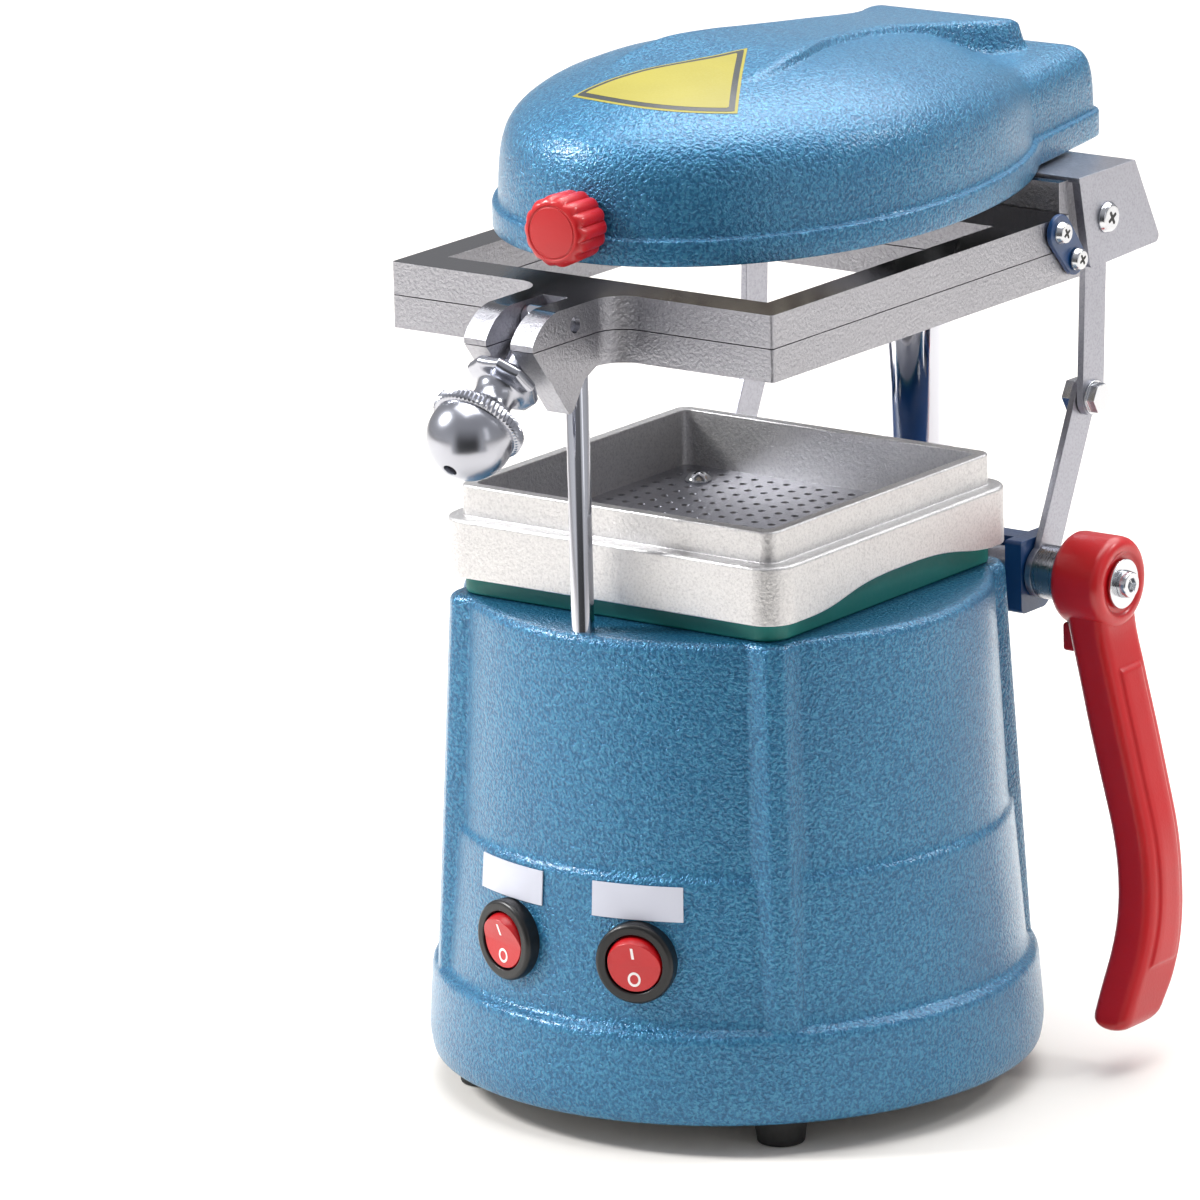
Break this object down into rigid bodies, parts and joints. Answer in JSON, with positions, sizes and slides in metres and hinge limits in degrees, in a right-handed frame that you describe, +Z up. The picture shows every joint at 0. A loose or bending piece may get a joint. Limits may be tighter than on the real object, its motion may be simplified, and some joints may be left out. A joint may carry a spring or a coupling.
{
  "type": "dental vacuum former",
  "caption": "Bench vacuum forming machine: round housing, square suction tray, sheet frame lowered by a side lever, and a heater hood that swings on a rear column.",
  "frame": {"origin": "bottom centre of the whole machine, on the floor under the feet", "axes": "+Z up, the front with the switches and the clamp knob faces -Y, the lever is on the +X side"},
  "size_m": [0.2036, 0.2912, 0.3208],
  "materials": {
    "blue_hammer": "hammered gloss enamel",
    "blue_enamel": "gloss enamel",
    "cast_aluminium": "sand cast, satin",
    "machined_aluminium": "milled, fine grooves",
    "sheet_steel": "brushed",
    "bright_steel": "polished",
    "fasteners": "zinc plated",
    "red_plastic": "semi gloss",
    "black_plastic": "semi gloss",
    "white_label": "satin film",
    "teal_rubber": "matte",
    "black_rubber": "matte",
    "bearing_bronze": "machined",
    "motor_paint": "satin",
    "zinc_sheet": "pressed sheet",
    "heater_ceramic": "unglazed ceramic",
    "heater_wire": "oxidised wire",
    "terminal_plastic": "moulded"
  },
  "bodies": {
    "base": {"body_shell": "blue_hammer", "base_plate": "zinc_sheet", "rubber_feet": "black_rubber", "base_screws": "fasteners", "switch_bezels": "black_plastic", "label_plates": "white_label", "cable_gland": "black_plastic", "fuse_holder": "black_plastic", "terminal_block": "terminal_plastic", "motor_mount": "black_rubber", "vacuum_motor": "motor_paint", "blower_housing": "zinc_sheet", "suction_duct": "black_rubber", "platform_gasket": "teal_rubber", "vacuum_platform": "cast_aluminium", "perforated_plate": "sheet_steel", "plate_screws": "fasteners", "rear_bracket": "blue_enamel", "bracket_screws": "fasteners", "rear_column": "bright_steel", "rod_bush": "bearing_bronze"},
    "impeller": {"impeller": "machined_aluminium"},
    "carriage": {"lower_frame": "cast_aluminium", "front_rod": "bright_steel", "crossbeam": "cast_aluminium", "column_bush": "bearing_bronze", "rear_cover": "sheet_steel", "link_rivets": "fasteners", "lower_hinge_screws": "fasteners"},
    "sheet_clamp": {"upper_frame": "cast_aluminium", "hinge_plates": "blue_enamel", "upper_hinge_screws": "fasteners", "clamp_pin": "bright_steel"},
    "clamp_bolt": {"swing_bolt": "bright_steel"},
    "clamp_knob": {"clamp_knob": "bright_steel"},
    "hood": {"hood_shell": "blue_hammer", "hood_hub": "cast_aluminium", "heat_reflector": "sheet_steel", "heater_disc": "heater_ceramic", "heating_coils": "heater_wire", "heater_studs": "fasteners", "hood_knob": "red_plastic"},
    "lever": {"cross_shaft": "sheet_steel", "right_arm": "sheet_steel", "left_arm": "sheet_steel", "shaft_collar": "machined_aluminium", "shaft_nut": "fasteners", "lever_handle": "red_plastic", "lever_washer": "fasteners", "lever_screw": "fasteners"},
    "links": {"right_link": "sheet_steel", "left_link": "sheet_steel", "link_bolts": "fasteners"},
    "heater_switch": {"heater_rocker": "red_plastic"},
    "vacuum_switch": {"vacuum_rocker": "red_plastic"}
  },
  "joints": [
    {"name": "hood_swing", "type": "hinge", "parent": "base", "child": "hood", "pos_m": [-0.00746, 0.09773, 0.28], "axis": [0, 0, 1], "range_deg": [-90, 90]},
    {"name": "carriage_slide", "type": "slide", "parent": "base", "child": "carriage", "axis": [0, 0, -1], "range_m": [0, 0.0594]},
    {"name": "lever_turn", "type": "hinge", "parent": "base", "child": "lever", "pos_m": [0.07254, 0.07473, 0.1473], "axis": [-1, 0, 0], "range_deg": [0, 65.8]},
    {"name": "link_turn", "type": "hinge", "parent": "lever", "child": "links", "pos_m": [0.05614, 0.09873, 0.1977], "axis": [-1, 0, 0], "range_deg": [-99.5, 0]},
    {"name": "frame_hinge", "type": "hinge", "parent": "carriage", "child": "sheet_clamp", "pos_m": [-0.00746, 0.07913, 0.246], "axis": [-1, 0, 0], "range_deg": [0, 1.4]},
    {"name": "clamp_swing", "type": "hinge", "parent": "sheet_clamp", "child": "clamp_bolt", "pos_m": [-0.00746, -0.09677, 0.2539], "axis": [-1, 0, 0], "range_deg": [0, 60]},
    {"name": "clamp_knob_spin", "type": "hinge", "parent": "clamp_bolt", "child": "clamp_knob", "pos_m": [-0.00746, -0.09677, 0.2539], "axis": [0, -0.788, -0.6157], "continuous": true},
    {"name": "heater_switch_turn", "type": "hinge", "parent": "base", "child": "heater_switch", "pos_m": [-0.02942, -0.09111, 0.0585], "axis": [-0.9688, 0.2478, 0], "range_deg": [0, 20]},
    {"name": "vacuum_switch_turn", "type": "hinge", "parent": "base", "child": "vacuum_switch", "pos_m": [0.01749, -0.09029, 0.0585], "axis": [-0.9596, -0.2815, 0], "range_deg": [0, 20]},
    {"name": "impeller_spin", "type": "hinge", "parent": "base", "child": "impeller", "pos_m": [-0.00746, -0.00527, 0.07], "axis": [0, 0, 1], "continuous": true}
  ],
  "couplings": [
    {"joint": "lever_turn", "follows": "carriage_slide", "rad_per_m": 19.32},
    {"joint": "link_turn", "follows": "carriage_slide", "rad_per_m": -29.21}
  ]
}
